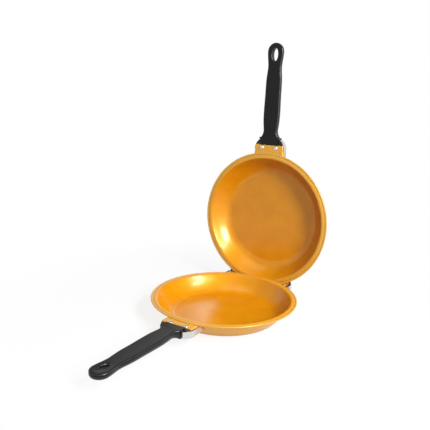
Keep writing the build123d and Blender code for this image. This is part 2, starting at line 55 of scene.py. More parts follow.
# ------------------------------------------------------------------ sizes and colours
class FlipPanSizes(bpy.types.PropertyGroup):
    """Sizes of one half, in metres, in the frame of its rim"""

    rim_radius: bpy.props.FloatProperty(
        name="Rim radius", description="Outside of the flat rim", default=0.120, unit="LENGTH")
    lip_radius: bpy.props.FloatProperty(
        name="Lip radius", description="Where the inner wall would meet the rim plane",
        default=0.110, unit="LENGTH")
    bowl_depth: bpy.props.FloatProperty(
        name="Bowl depth", description="Rim plane down to the cooking face",
        default=0.0274, unit="LENGTH")
    wall_slope: bpy.props.FloatProperty(
        name="Wall slope", description="Angle of the wall above the horizontal",
        default=radians(51), subtype="ANGLE")
    wall: bpy.props.FloatProperty(
        name="Wall", description="Thickness of the pressed wall", default=0.003, unit="LENGTH")
    rim_gap: bpy.props.FloatProperty(
        name="Rim gap", description="Between the two rims when shut", default=0.0003,
        unit="LENGTH")
    rim_thickness: bpy.props.FloatProperty(
        name="Rim thickness", description="Thickness of the flat rim", default=0.00225,
        unit="LENGTH")
    lip_round: bpy.props.FloatProperty(
        name="Lip round", description="Rounding from rim to wall", default=0.004,
        unit="LENGTH")
    floor_round: bpy.props.FloatProperty(
        name="Floor round", description="Rounding from wall to cooking face", default=0.020,
        unit="LENGTH")
    wall_bow: bpy.props.FloatProperty(
        name="Wall bow", description="Knee of the wall outside its straight line", default=0.0016,
        unit="LENGTH")
    bow_round: bpy.props.FloatProperty(
        name="Bow round", description="Rounding of the wall's knee", default=0.075,
        unit="LENGTH")
    base_round: bpy.props.FloatProperty(
        name="Base round", description="Rounding under the bowl", default=0.011,
        unit="LENGTH")
    rim_root_round: bpy.props.FloatProperty(
        name="Rim root round", description="Rounding from the rim's underside to the wall",
        default=0.003, unit="LENGTH")
    edge_round: bpy.props.FloatProperty(
        name="Edge round", description="Softening of the edges of rims and handle ears",
        default=0.0009, unit="LENGTH")
    groove_radius: bpy.props.FloatProperty(
        name="Groove radius", description="Middle of the groove in the rim", default=0.1166,
        unit="LENGTH")
    groove_width: bpy.props.FloatProperty(
        name="Groove width", description="Width of the groove's floor", default=0.0006,
        unit="LENGTH")
    groove_depth: bpy.props.FloatProperty(
        name="Groove depth", description="Depth of the groove", default=0.0004, unit="LENGTH")
    hinge_reach: bpy.props.FloatProperty(
        name="Hinge reach", description="Bowl axis to hinge axis", default=0.114,
        unit="LENGTH")
    hinge_drop: bpy.props.FloatProperty(
        name="Hinge drop", description="Rim plane down to the hinge axis", default=0.0095,
        unit="LENGTH")
    ear_drop: bpy.props.FloatProperty(
        name="Ear drop", description="Rim plane down to the ears", default=0.0016,
        unit="LENGTH")
    ear_thickness: bpy.props.FloatProperty(
        name="Ear thickness", description="Thickness of the ears", default=0.002,
        unit="LENGTH")
    ear_tuck: bpy.props.FloatProperty(
        name="Ear tuck", description="Radius of the ears' inner edge, inside the bowl's wall",
        default=0.1125, unit="LENGTH")
    handle_ear_width: bpy.props.FloatProperty(
        name="Handle ear width", description="Width of the handle ears", default=0.055,
        unit="LENGTH")
    handle_ear_reach: bpy.props.FloatProperty(
        name="Handle ear reach", description="Bowl axis to the end of the handle ears",
        default=0.1337, unit="LENGTH")
    handle_ear_corner: bpy.props.FloatProperty(
        name="Handle ear corner", description="Rounding of their outer corners", default=0.007,
        unit="LENGTH")
    fold_reach: bpy.props.FloatProperty(
        name="Fold reach", description="Bowl axis to the fold across a handle ear",
        default=0.123, unit="LENGTH")
    fold_height: bpy.props.FloatProperty(
        name="Fold height", description="How far the fold stands up", default=0.00016,
        unit="LENGTH")
    fold_width: bpy.props.FloatProperty(
        name="Fold width", description="Crest of the fold to either foot", default=0.0011,
        unit="LENGTH")
    hinge_ear_width: bpy.props.FloatProperty(
        name="Hinge ear width", description="Width of the hinge ears", default=0.118,
        unit="LENGTH")
    curl_start: bpy.props.FloatProperty(
        name="Curl start", description="Bowl axis to where a hinge ear begins to curl",
        default=0.1136, unit="LENGTH")
    rivet_spacing: bpy.props.FloatProperty(
        name="Rivet spacing", description="Between the two handle rivets", default=0.0268,
        unit="LENGTH")
    rivet_reach: bpy.props.FloatProperty(
        name="Rivet reach", description="Bowl axis to the handle rivets", default=0.129,
        unit="LENGTH")
    open_angle: bpy.props.FloatProperty(
        name="Open angle", description="From shut to the stop", default=radians(92.8),
        subtype="ANGLE")


class FlipPanColours(bpy.types.PropertyGroup):
    """Base colours of the finishes, of painted shade and of a painted reflection"""

    coat: bpy.props.FloatVectorProperty(
        name="Coat", description="Golden ceramic coat", default=(0.70, 0.293, 0.003),
        subtype="COLOR", min=0, max=1)
    coat_deep: bpy.props.FloatVectorProperty(
        name="Coat, deep", description="Coat where it lies thick", default=(0.63, 0.243, 0.002),
        subtype="COLOR", min=0, max=1)
    rim_coat: bpy.props.FloatVectorProperty(
        name="Rim coat", description="Coat on the turned rim", default=(0.74, 0.370, 0.040),
        subtype="COLOR", min=0, max=1)
    steel: bpy.props.FloatVectorProperty(
        name="Steel", description="Polished bracket steel", default=(0.72, 0.71, 0.70),
        subtype="COLOR", min=0, max=1)
    handle: bpy.props.FloatVectorProperty(
        name="Handle", description="Black phenolic", default=(0.0045, 0.0042, 0.0040),
        subtype="COLOR", min=0, max=1)
    handle_worn: bpy.props.FloatVectorProperty(
        name="Handle, worn", description="Phenolic where it is handled",
        default=(0.0070, 0.0063, 0.0056), subtype="COLOR", min=0, max=1)
    rivet: bpy.props.FloatVectorProperty(
        name="Rivet", description="Bright aluminium", default=(0.66, 0.67, 0.69),
        subtype="COLOR", min=0, max=1)
    # painted shade: dark colour for the upper hinge plates, and for a bracket's top under the ear
    painted_shade_dark: bpy.props.FloatVectorProperty(
        name="Steel, dull", description="Blackened steel, and the top of a bracket",
        default=(0.05, 0.045, 0.04), subtype="COLOR", min=0, max=1)
    # painted shade: paler random patches in the painted shade of the upper hinge plates
    painted_shade_pale: bpy.props.FloatVectorProperty(
        name="Steel, scale", description="Blackened steel where its scale is thin",
        default=(0.11, 0.10, 0.09), subtype="COLOR", min=0, max=1)
    # painted reflection: the golden coat mirrored in the bracket steel near the bowl
    painted_coat_reflection: bpy.props.FloatVectorProperty(
        name="Steel, warm", description="Bracket steel tinted by the coat near the bowl",
        default=(0.72, 0.40, 0.19), subtype="COLOR", min=0, max=1)
    zinc: bpy.props.FloatVectorProperty(
        name="Zinc", description="Plating of the small parts", default=(0.60, 0.60, 0.58),
        subtype="COLOR", min=0, max=1)
    zinc_deep: bpy.props.FloatVectorProperty(
        name="Zinc, deep", description="Plating between its spangles",
        default=(0.42, 0.42, 0.41), subtype="COLOR", min=0, max=1)


def sizes():
    return bpy.context.scene.flip_pan_sizes


def colours():
    return bpy.context.scene.flip_pan_colours


# ------------------------------------------------------------------ placing
def half_place(half):
    """From the frame of a half's own rim to the place of that half."""
    size = sizes()
    lower = Matrix.Translation((0, 0, PAN_HEIGHT))
    if half == "lower":
        return lower
    hinge = Vector((0, size.hinge_reach, PAN_HEIGHT - size.hinge_drop))
    swing = (Matrix.Translation(hinge) @ Matrix.Rotation(-size.open_angle, 4, "X")
             @ Matrix.Translation(-hinge))
    return swing @ lower @ Matrix.Rotation(pi, 4, "Y")


def finish_piece(bm, name, half, material, replaced=(), smooth=40.0, local=True):
    """Turns a bmesh into a piece that rides on its half."""
    if local:
        bmesh.ops.transform(bm, matrix=half_place(half), verts=bm.verts)
    bmesh.ops.recalc_face_normals(bm, faces=bm.faces)
    for face in bm.faces:
        face.smooth = True
    for edge in bm.edges:
        if len(edge.link_faces) == 2 and edge.calc_face_angle(0.0) > radians(smooth):
            edge.smooth = False
    mesh = bpy.data.meshes.new(name)
    bm.to_mesh(mesh)
    bm.free()
    piece = bpy.data.objects.new(name, mesh)
    bpy.context.scene.collection.objects.link(piece)
    piece.data.materials.append(material)
    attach(piece, half + "_half")
    if replaced:
        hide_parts(*replaced)
    return piece


def node_copy(node, name, half, material, smooth=32.0):
    """A node's own shape, merged and smoothed, with its hard edges kept."""
    bm = bmesh.new()
    bm.from_mesh(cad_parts[node].data)
    bmesh.ops.remove_doubles(bm, verts=bm.verts, dist=2 * TINY)
    bmesh.ops.dissolve_degenerate(bm, edges=bm.edges, dist=TINY)
    return finish_piece(bm, name, half, material, (node,), smooth=smooth, local=False)


# ------------------------------------------------------------------ turned shapes
def arc(centre, radius, start, end, steps):
    """Points on an arc in a section; angles in radians."""
    return [
        (centre[0] + radius * cos(start + (end - start) * i / steps),
         centre[1] + radius * sin(start + (end - start) * i / steps))
        for i in range(steps + 1)
    ]


def rounded(before, corner, after, radius, steps):
    """A corner of a section replaced by an arc of that radius."""
    p, a, b = Vector(corner), Vector(before), Vector(after)
    u, v = (a - p).normalized(), (b - p).normalized()
    half_angle = acos(max(-1.0, min(1.0, u.dot(v)))) / 2
    centre = p + (u + v).normalized() * (radius / sin(half_angle))
    first = p + u * (radius / tan(half_angle)) - centre
    last = p + v * (radius / tan(half_angle)) - centre
    points = []
    for i in range(steps + 1):
        t = i / steps
        swing = first.lerp(last, t)
        points.append(tuple(centre + swing.normalized() * radius))
    return points


def turned(bm, section, steps, centre=(0, 0, 0)):
    """Spins a section of (radius, height) points about an upright axis."""
    centre, axis = Vector(centre), Vector((0, 0, 1))
    verts = [bm.verts.new(centre + Vector((r, 0, h))) for r, h in section]
    edges = [bm.edges.new((a, b)) for a, b in zip(verts, verts[1:])]
    bmesh.ops.spin(bm, geom=verts + edges, cent=centre, axis=axis, dvec=(0, 0, 0),
                   angle=2 * pi, steps=steps, use_merge=True)
    bmesh.ops.remove_doubles(bm, verts=bm.verts, dist=TINY)


# ------------------------------------------------------------------ node materials
# where a finish, painted shade and a painted reflection change, in millimetres in the frame of a
# half's rim: (from, to)
BELOW_FLOOR = (-28.4, -29.2)       # heights
BELOW_RIM = (-0.6, -1.2)
ABOVE_BASE = (-27.0, -21.0)
BRACKET_SHADE_HEIGHTS = (-4.9, -4.3)
HANDLE_TOP = (-1.6, -0.5)
COAT_REFLECTION_RADII = (131.0, 122.0)      # radii
CREASE_MIDDLE, CREASE_REACH = -3.95, 0.55
GROOVE_SHADE_REACH = 0.5


def new_material(name):
    """A material with one Principled shader on its output."""
    material = bpy.data.materials.new(name)
    material.use_nodes = True
    tree = material.node_tree
    tree.nodes.clear()
    output = tree.nodes.new("ShaderNodeOutputMaterial")
    shader = tree.nodes.new("ShaderNodeBsdfPrincipled")
    tree.links.new(shader.outputs["BSDF"], output.inputs["Surface"])
    return material, tree, shader


def half_coordinates(tree, half):
    """Object coordinates turned into the frame of a half's rim, in millimetres."""
    place = half_place(half)
    coordinate = tree.nodes.new("ShaderNodeTexCoord")
    local = tree.nodes.new("ShaderNodeMapping")
    local.vector_type = "TEXTURE"
    local.inputs["Location"].default_value = place.to_translation()
    local.inputs["Rotation"].default_value = place.to_euler()
    local.inputs["Scale"].default_value = (MM, MM, MM)
    tree.links.new(coordinate.outputs["Object"], local.inputs["Vector"])
    return local.outputs["Vector"]


def noise(tree, vector, scale, detail, roughness, stretch=None):
    """Fractal noise, its pattern squeezed along each axis by stretch."""
    if stretch:
        squeeze = tree.nodes.new("ShaderNodeMapping")
        squeeze.inputs["Scale"].default_value = stretch
        tree.links.new(vector, squeeze.inputs["Vector"])
        vector = squeeze.outputs["Vector"]
    texture = tree.nodes.new("ShaderNodeTexNoise")
    texture.inputs["Scale"].default_value = scale
    texture.inputs["Detail"].default_value = detail
    texture.inputs["Roughness"].default_value = roughness
    tree.links.new(vector, texture.inputs["Vector"])
    return texture.outputs["Fac"]


def ramp(tree, factor, stops):
    """A colour ramp between two (position, colour) stops."""
    node = tree.nodes.new("ShaderNodeValToRGB")
    elements = node.color_ramp.elements
    elements[0].position, elements[0].color = stops[0][0], (*stops[0][1], 1)
    elements[1].position, elements[1].color = stops[1][0], (*stops[1][1], 1)
    tree.links.new(factor, node.inputs["Fac"])
    return node.outputs["Color"]


def map_range(tree, value, low, high, to_low, to_high):
    """A value mapped from one range to another, and held within it."""
    node = tree.nodes.new("ShaderNodeMapRange")
    node.inputs["From Min"].default_value = low
    node.inputs["From Max"].default_value = high
    node.inputs["To Min"].default_value = to_low
    node.inputs["To Max"].default_value = to_high
    tree.links.new(value, node.inputs["Value"])
    return node.outputs["Result"]


def math(tree, operation, a, b=0.0):
    """A Math node; a and b are sockets or numbers."""
    node = tree.nodes.new("ShaderNodeMath")
    node.operation = operation
    for socket, value in zip(node.inputs, (a, b)):
        if isinstance(value, (int, float)):
            socket.default_value = value
        else:
            tree.links.new(value, socket)
    return node.outputs["Value"]


def near(tree, value, middle, reach):
    """1 where a value is within that reach of the middle, else 0."""
    compare = math(tree, "COMPARE", value, middle)
    compare.node.inputs[2].default_value = reach
    return compare


def separate(tree, vector):
    """The X, Y and Z sockets of a vector."""
    node = tree.nodes.new("ShaderNodeSeparateXYZ")
    tree.links.new(vector, node.inputs["Vector"])
    return node.outputs


def blend(tree, factor, first, second):
    """Mixes a colour socket with a second colour, which is a socket or a value."""
    node = tree.nodes.new("ShaderNodeMix")
    node.data_type = "RGBA"
    tree.links.new(factor, node.inputs["Factor"])
    tree.links.new(first, node.inputs["A"])
    if isinstance(second, bpy.types.NodeSocket):
        tree.links.new(second, node.inputs["B"])
    else:
        node.inputs["B"].default_value = (*second, 1)
    return node.outputs["Result"]


def seen_ray(tree):
    """1 for rays that come from the camera, a reflection or a refraction, else 0."""
    path = tree.nodes.new("ShaderNodeLightPath").outputs
    either = math(tree, "MAXIMUM", path["Is Camera Ray"], path["Is Glossy Ray"])
    return math(tree, "MAXIMUM", either, path["Is Transmission Ray"])


def bump(tree, shader, height, strength, distance):
    """Bumps the shader's normal; returns the Bump node."""
    node = tree.nodes.new("ShaderNodeBump")
    node.inputs["Strength"].default_value = strength
    node.inputs["Distance"].default_value = distance
    tree.links.new(height, node.inputs["Height"])
    tree.links.new(node.outputs["Normal"], shader.inputs["Normal"])
    return node


def radius_of(tree, vector):
    """Distance from the bowl's axis, in millimetres."""
    split = separate(tree, vector)
    squared = math(tree, "ADD", math(tree, "POWER", split["X"], 2.0),
                   math(tree, "POWER", split["Y"], 2.0))
    return math(tree, "SQRT", squared)


def gold_coat(half):
    """Satin golden ceramic coat: fine flake, faint lathe rings and slow cloudy tone."""
    material, tree, shader = new_material(f"gold_coat_{half}")
    colour = colours()
    size = sizes()
    local = half_coordinates(tree, half)
    radius = radius_of(tree, local)
    cloud = noise(tree, local, 0.035, 4.0, 0.55)
    flake = noise(tree, local, 2.2, 2.0, 0.6)
    tone = math(tree, "ADD", math(tree, "MULTIPLY", cloud, 0.75),
                math(tree, "MULTIPLY", flake, 0.25))
    base = ramp(tree, tone, (
        (0.32, tuple(colour.coat_deep)), (0.66, tuple(colour.coat))))
    height = separate(tree, local)["Z"]
    # outside of the inner wall's line, or below the cooking face
    run = 1 / tan(size.wall_slope)
    floor_radius = (size.lip_radius - size.bowl_depth * run) / MM
    above_floor = math(tree, "ADD", height, size.bowl_depth / MM)
    within = math(tree, "SUBTRACT", radius, math(tree, "MULTIPLY", above_floor, run))
    depth = math(tree, "SUBTRACT", within, floor_radius)
    outside = math(tree, "MAXIMUM", map_range(tree, depth, 2.0, 3.0, 0.0, 1.0),
                   map_range(tree, height, *BELOW_FLOOR, 0.0, 1.0))
    # the turned rim is paler, and painted shade darkens it again in its groove
    lip = size.lip_radius / MM
    flat = map_range(tree, radius, lip + 0.6, lip + 1.4, 0.0, 1.0)
    rim = ramp(tree, near(tree, radius, size.groove_radius / MM, GROOVE_SHADE_REACH), (
        (0.0, tuple(colour.rim_coat)), (1.0, tuple(Vector(colour.rim_coat) * 0.84))))
    tree.links.new(blend(tree, math(tree, "MAXIMUM", outside, flat), base, rim),
                   shader.inputs["Base Color"])
    rings = tree.nodes.new("ShaderNodeTexWave")
    rings.wave_type = "RINGS"
    rings.rings_direction = "Z"
    rings.inputs["Scale"].default_value = 0.28
    rings.inputs["Distortion"].default_value = 0.4
    tree.links.new(local, rings.inputs["Vector"])
    rough = math(tree, "ADD", map_range(tree, flake, 0.3, 0.7, 0.36, 0.46),
                 math(tree, "MULTIPLY", rings.outputs["Fac"], 0.03))
    tree.links.new(rough, shader.inputs["Roughness"])
    # under the rim the coat is thin and metallic, less so towards the base
    rim_edge = size.rim_radius / MM
    bare = outside
    for mask in (map_range(tree, height, *BELOW_RIM, 0.0, 1.0),
                 map_range(tree, radius, rim_edge + 0.2, rim_edge + 0.8, 1.0, 0.0),
                 map_range(tree, height, *ABOVE_BASE, 0.35, 1.0)):
        bare = math(tree, "MULTIPLY", bare, mask)
    tree.links.new(map_range(tree, bare, 0.0, 1.0, 0.24, 0.80), shader.inputs["Metallic"])
    shader.inputs["Specular IOR Level"].default_value = 0.0
    shader.inputs["Specular Tint"].default_value = (1.0, 0.72, 0.40, 1)
    shader.inputs["Coat Weight"].default_value = 0.80
    shader.inputs["Coat Roughness"].default_value = 0.22
    relief = math(tree, "ADD", math(tree, "MULTIPLY", rings.outputs["Fac"], 0.35),
                  math(tree, "MULTIPLY", flake, 0.65))
    bump(tree, shader, relief, 0.10, 0.00006)
    return material


def polished_steel(half):
    """Polished strip steel with a faint drawn grain along it, painted shade on its top under the
    ear and a painted reflection of the golden coat near the bowl.
    """
    material, tree, shader = new_material(f"polished_steel_{half}")
    colour = colours()
    local = half_coordinates(tree, half)
    grain = noise(tree, local, 1.0, 4.0, 0.6, stretch=(3.0, 0.08, 3.0))
    smudge = noise(tree, local, 0.09, 3.0, 0.5)
    steel = Vector(colour.steel)
    base = ramp(tree, grain, ((0.3, tuple(steel * 0.9)), (0.7, tuple(steel))))
    # painted shade on its top, under the ear; a painted reflection of the golden coat near its
    # foot
    top = map_range(tree, separate(tree, local)["Z"], *BRACKET_SHADE_HEIGHTS, 0.0, 1.0)
    foot = map_range(tree, radius_of(tree, local), *COAT_REFLECTION_RADII, 0.0, 0.75)
    tinted = blend(tree, foot, blend(tree, top, base, colour.painted_shade_dark), colour.painted_coat_reflection)
    tree.links.new(tinted, shader.inputs["Base Color"])
    rough = math(tree, "ADD", map_range(tree, grain, 0.3, 0.7, 0.07, 0.14),
                 map_range(tree, smudge, 0.35, 0.7, 0.0, 0.08))
    tree.links.new(rough, shader.inputs["Roughness"])
    shader.inputs["Metallic"].default_value = 1.0
    bump(tree, shader, grain, 0.08, 0.00004)
    return material


def shaded_hinge_steel(half):
    """Painted shade: dark steel with paler random patches for the upper hinge plates that swing
    between the cheeks.
    """
    material, tree, shader = new_material(f"dark_steel_{half}")
    colour = colours()
    scale = noise(tree, half_coordinates(tree, half), 0.8, 4.0, 0.6)
    base = ramp(tree, scale, (
        (0.3, tuple(colour.painted_shade_dark)), (0.7, tuple(colour.painted_shade_pale))))
    tree.links.new(base, shader.inputs["Base Color"])
    tree.links.new(map_range(tree, scale, 0.3, 0.7, 0.34, 0.5), shader.inputs["Roughness"])
    shader.inputs["Metallic"].default_value = 1.0
    bump(tree, shader, scale, 0.12, 0.00005)
    return material


def plated_steel():
    """Zinc plated steel of the pins, screws and tangs."""
    material, tree, shader = new_material("plated_steel")
    colour = colours()
    coordinate = tree.nodes.new("ShaderNodeTexCoord")
    spangle = noise(tree, coordinate.outputs["Object"], 900.0, 3.0, 0.6)
    base = ramp(tree, spangle, (
        (0.35, tuple(colour.zinc_deep)), (0.65, tuple(colour.zinc))))
    tree.links.new(base, shader.inputs["Base Color"])
    tree.links.new(map_range(tree, spangle, 0.3, 0.7, 0.25, 0.42), shader.inputs["Roughness"])
    shader.inputs["Metallic"].default_value = 1.0
    bump(tree, shader, spangle, 0.1, 0.00004)
    return material


def bright_rivet():
    """Bright aluminium heads, faintly dimpled by the riveting tool."""
    material, tree, shader = new_material("bright_rivet")
    coordinate = tree.nodes.new("ShaderNodeTexCoord")
    dimple = noise(tree, coordinate.outputs["Object"], 700.0, 2.0, 0.5)
    rivet = Vector(colours().rivet)
    base = ramp(tree, dimple, ((0.35, tuple(rivet * 0.93)), (0.65, tuple(rivet))))
    tree.links.new(base, shader.inputs["Base Color"])
    tree.links.new(map_range(tree, dimple, 0.3, 0.7, 0.16, 0.28), shader.inputs["Roughness"])
    shader.inputs["Metallic"].default_value = 1.0
    bump(tree, shader, dimple, 0.15, 0.00006)
    return material


def black_phenolic(half):
    """Moulded black phenolic: fine grain, a dull handled face and glossier sides."""
    material, tree, shader = new_material(f"black_phenolic_{half}")
    colour = colours()
    local = half_coordinates(tree, half)
    grain = noise(tree, local, 1.6, 4.0, 0.6)
    wear = noise(tree, local, 0.05, 3.0, 0.55, stretch=(1.6, 0.7, 1.6))
    split = separate(tree, local)
    top = map_range(tree, split["Z"], *HANDLE_TOP, 0.0, 1.0)
    handled = math(tree, "MULTIPLY", top, map_range(tree, wear, 0.3, 0.75, 0.45, 1.0))
    base = ramp(tree, handled, (
        (0.0, tuple(colour.handle)), (1.0, tuple(colour.handle_worn))))
    tree.links.new(base, shader.inputs["Base Color"])
    rough = math(tree, "ADD", map_range(tree, top, 0.0, 1.0, 0.30, 0.40),
                 map_range(tree, grain, 0.3, 0.7, -0.03, 0.05))
    tree.links.new(rough, shader.inputs["Roughness"])
    # the crease along each side hardly shines
    crease = near(tree, split["Z"], CREASE_MIDDLE, CREASE_REACH)
    shine = math(tree, "MULTIPLY", map_range(tree, top, 0.0, 1.0, 0.46, 0.12),
                 map_range(tree, crease, 0.0, 1.0, 1.0, 0.15))
    tree.links.new(shine, shader.inputs["Specular IOR Level"])
    # fine grain over a faintly hollow face
    grained = bump(tree, shader, grain, 0.08, 0.00007)
    hollow = tree.nodes.new("ShaderNodeBump")
    hollow.inputs["Strength"].default_value = 1.0
    hollow.inputs["Distance"].default_value = 0.001
    across = math(tree, "MULTIPLY", math(tree, "POWER", split["X"], 2.0), 0.0045)
    tree.links.new(across, hollow.inputs["Height"])
    tree.links.new(hollow.outputs["Normal"], grained.inputs["Normal"])
    return material


MATERIALS = {}


def finish(name, half=""):
    """Each finish is made once."""
    makers = {
        "gold": gold_coat, "steel": polished_steel, "phenolic": black_phenolic,
        "plated": plated_steel, "rivet": bright_rivet, "dark": shaded_hinge_steel,
    }
    key = name + half
    if key not in MATERIALS:
        MATERIALS[key] = makers[name](half) if half else makers[name]()
    return MATERIALS[key]


# ------------------------------------------------------------------ pieces
BOWL_STEPS = 256
RIVET_STEPS = 40
FLOOR_RINGS = (0, 0.02, 0.04, 0.06, 0.07)       # radii of the rings in the flat faces
BASE_RINGS = (0.06, 0.03, 0)
# across and down, in shares of the groove's width and depth
GROOVE_PROFILE = ((-1.4, 0), (-1, 0.3), (-0.5, 1), (0.5, 1), (1, 0.3), (1.4, 0))
FOLD_ROWS = (-1.6, -1.0, -0.66, -0.33, 0.0, 0.33, 0.66, 1.0, 1.6)    # in fold widths
# radius and height of each ring of a head
RIVET_HEAD = ((0, 0.0013), (0.0009, 0.00126), (0.0018, 0.00112), (0.0026, 0.00085),
              (0.0032, 0.0005), (0.0036, 0.0001), (0.0037, -0.0002))
SWING_CLEARANCE = 0.00015                       # left between the cut rim and the swing


def bowl_section():
    """Section of the bowl from the middle of the cooking face round to the middle of the base."""
    size = sizes()
    run = 1 / tan(size.wall_slope)
    level_wall = size.wall / sin(size.wall_slope)
    top = -size.rim_gap / 2
    under = top - size.rim_thickness
    floor = -size.bowl_depth
    base = -PAN_HEIGHT
    lip = (size.lip_radius + top * run, top)
    floor_corner = (size.lip_radius + floor * run, floor)
    under_corner = (size.lip_radius + under * run + level_wall, under)
    base_corner = (size.lip_radius + base * run + level_wall, base)
    rim = size.rim_radius
    section = [(ring, floor) for ring in FLOOR_RINGS]
    outward = Vector((sin(size.wall_slope), -cos(size.wall_slope)))
    knee = tuple(Vector(floor_corner).lerp(Vector(lip), 0.5) + outward * size.wall_bow)
    section += rounded((0, floor), floor_corner, knee, size.floor_round, 16)
    section += rounded(floor_corner, knee, lip, size.bow_round, 8)
    section += rounded(knee, lip, (rim, top), size.lip_round, 10)
    section += [(size.groove_radius + across * size.groove_width,
                 top - down * size.groove_depth) for across, down in GROOVE_PROFILE]
    section += rounded(lip, (rim, top), (rim, under), size.edge_round, 4)
    section += rounded((rim, top), (rim, under), under_corner, size.edge_round, 4)
    section += rounded((rim, under), under_corner, base_corner, size.rim_root_round, 5)
    section += [tuple(Vector(under_corner).lerp(Vector(base_corner), t)) for t in (0.3, 0.55)]
    section += rounded(under_corner, base_corner, (0, base), size.base_round, 10)
    section += [(ring, base) for ring in BASE_RINGS]
    return section


class FLIPPAN_OT_bowls(bpy.types.Operator):
    """Both bowls, turned in one piece with their flat rims"""
    bl_idname = "flip_pan.bowls"
    bl_label = "Bowls"

    def execute(self, context):
        size = sizes()
        for half in HALVES:
            bm = bmesh.new()
            turned(bm, bowl_section(), BOWL_STEPS)
            # behind the hinge axis the rim is cut to the curve that the other rim swings on
            swing = size.hinge_drop - size.rim_gap
            for v in bm.verts:
                back, up = v.co.y - size.hinge_reach, v.co.z + size.hinge_drop
                reach = sqrt(back * back + up * up)
                if back > 0 and up > 0 and reach > swing - SWING_CLEARANCE:
                    curve = sqrt(max(swing ** 2 - back ** 2, 0.0))
                    v.co.z = -size.hinge_drop + curve - SWING_CLEARANCE
            finish_piece(bm, f"{half}_bowl", half, finish("gold", half),
                         (f"{half}_pan",), smooth=50.0)
        return {"FINISHED"}


def ear_plate(bm, half_width, far, inner_radius, corner, columns=28):
    """A flat ear with rounded outer corners, its inner edge on an arc inside the bowl's wall."""
    grid = bmesh.ops.create_grid(bm, x_segments=columns, y_segments=1, size=1.0)
    for v in grid["verts"]:
        v.co.x *= half_width
        if v.co.y > 0:
            v.co.y = -sqrt(inner_radius ** 2 - v.co.x ** 2)
        else:
            v.co.y = -far
    corners = [v for v in bm.verts if abs(v.co.y + far) < TINY
               and abs(abs(v.co.x) - half_width) < TINY]
    bmesh.ops.bevel(bm, geom=corners, offset=corner, offset_type="OFFSET", segments=7,
                    profile=0.5, affect="VERTICES", material=-1)


def fold_line(bm, place, height, half_width, top):
    """A low rounded fold across the top face of a plate."""
    for step in FOLD_ROWS:
        bmesh.ops.bisect_plane(bm, geom=bm.verts[:] + bm.edges[:] + bm.faces[:], dist=1e-7,
                               plane_co=(0, place + step * half_width, 0), plane_no=(0, 1, 0))
    for v in bm.verts:
        away = abs(v.co.y - place) / half_width
        if v.co.z > top - TINY and away < 1:
            v.co.z += height * (1 + cos(pi * away)) / 2


class FLIPPAN_OT_handle_ears(bpy.types.Operator):
    """Pressed ears that carry the handles"""
    bl_idname = "flip_pan.handle_ears"
    bl_label = "Handle ears"

    def execute(self, context):
        size = sizes()
        for half in HALVES:
            bm = bmesh.new()
            ear_plate(bm, size.handle_ear_width / 2, size.handle_ear_reach, size.ear_tuck,
                      size.handle_ear_corner)
            up = bmesh.ops.extrude_face_region(bm, geom=list(bm.faces))
            top = [g for g in up["geom"] if isinstance(g, bmesh.types.BMVert)]
            bmesh.ops.translate(bm, verts=top, vec=(0, 0, size.ear_thickness))
            bmesh.ops.translate(bm, verts=bm.verts,
                                vec=(0, 0, -size.ear_drop - size.ear_thickness))
            # its top edges outside the rim, where the faces meet at a sharp angle
            outside = [e for e in bm.edges if e.calc_face_angle(0.0) > radians(45) and all(
                v.co.z > -size.ear_drop - TINY and v.co.length > size.rim_radius + MM
                for v in e.verts)]
            bmesh.ops.bevel(bm, geom=outside, offset=size.edge_round, segments=4, profile=0.5,
                            affect="EDGES", material=-1)
            fold_line(bm, -size.fold_reach, size.fold_height, size.fold_width, -size.ear_drop)
            finish_piece(bm, f"{half}_handle_ear", half, finish("gold", half),
                         (f"{half}_pan",), smooth=50.0)
        return {"FINISHED"}


class FLIPPAN_OT_hinge_ears(bpy.types.Operator):
    """Ears at the hinge, curled down around its axis"""
    bl_idname = "flip_pan.hinge_ears"
    bl_label = "Hinge ears"

    def execute(self, context):
        size = sizes()
        nose = size.hinge_drop - size.ear_drop
        rows = [(0, -size.ear_drop), (size.curl_start, -size.ear_drop)]
        rows += arc((size.hinge_reach, -size.hinge_drop), nose, pi / 2, radians(12), 12)
        for half in HALVES:
            bm = bmesh.new()
            grid = bmesh.ops.create_grid(bm, x_segments=40, y_segments=len(rows) - 1, size=1.0)
            for v in grid["verts"]:
                row = round((v.co.y + 1) / 2 * (len(rows) - 1))
                v.co.x *= size.hinge_ear_width / 2
                v.co.y, v.co.z = rows[row]
                if row == 0:
                    v.co.y = sqrt(size.ear_tuck ** 2 - v.co.x ** 2)
            bmesh.ops.recalc_face_normals(bm, faces=bm.faces)
            bmesh.ops.solidify(bm, geom=list(bm.faces), thickness=size.ear_thickness)
            finish_piece(bm, f"{half}_hinge_ear", half, finish("gold", half),
                         (f"{half}_pan",), smooth=50.0)
        return {"FINISHED"}


class FLIPPAN_OT_brackets(bpy.types.Operator):
    """Polished steel brackets under the handle ears, and the hinge plates"""
    bl_idname = "flip_pan.brackets"
    bl_label = "Brackets and hinge plates"

    def execute(self, context):
        for half in HALVES:
            node_copy(f"{half}_handle_bracket", f"{half}_bracket", half,
                      finish("steel", half))
            for side in ("left", "right"):
                # the upper hinge plates take painted shade as dark steel; the lower ones are
                # polished steel
                look = finish("steel" if half == "lower" else "dark", half)
                node_copy(f"{half}_{side}_hinge_plate", f"{half}_{side}_hinge_strap", half,
                          look)
        return {"FINISHED"}


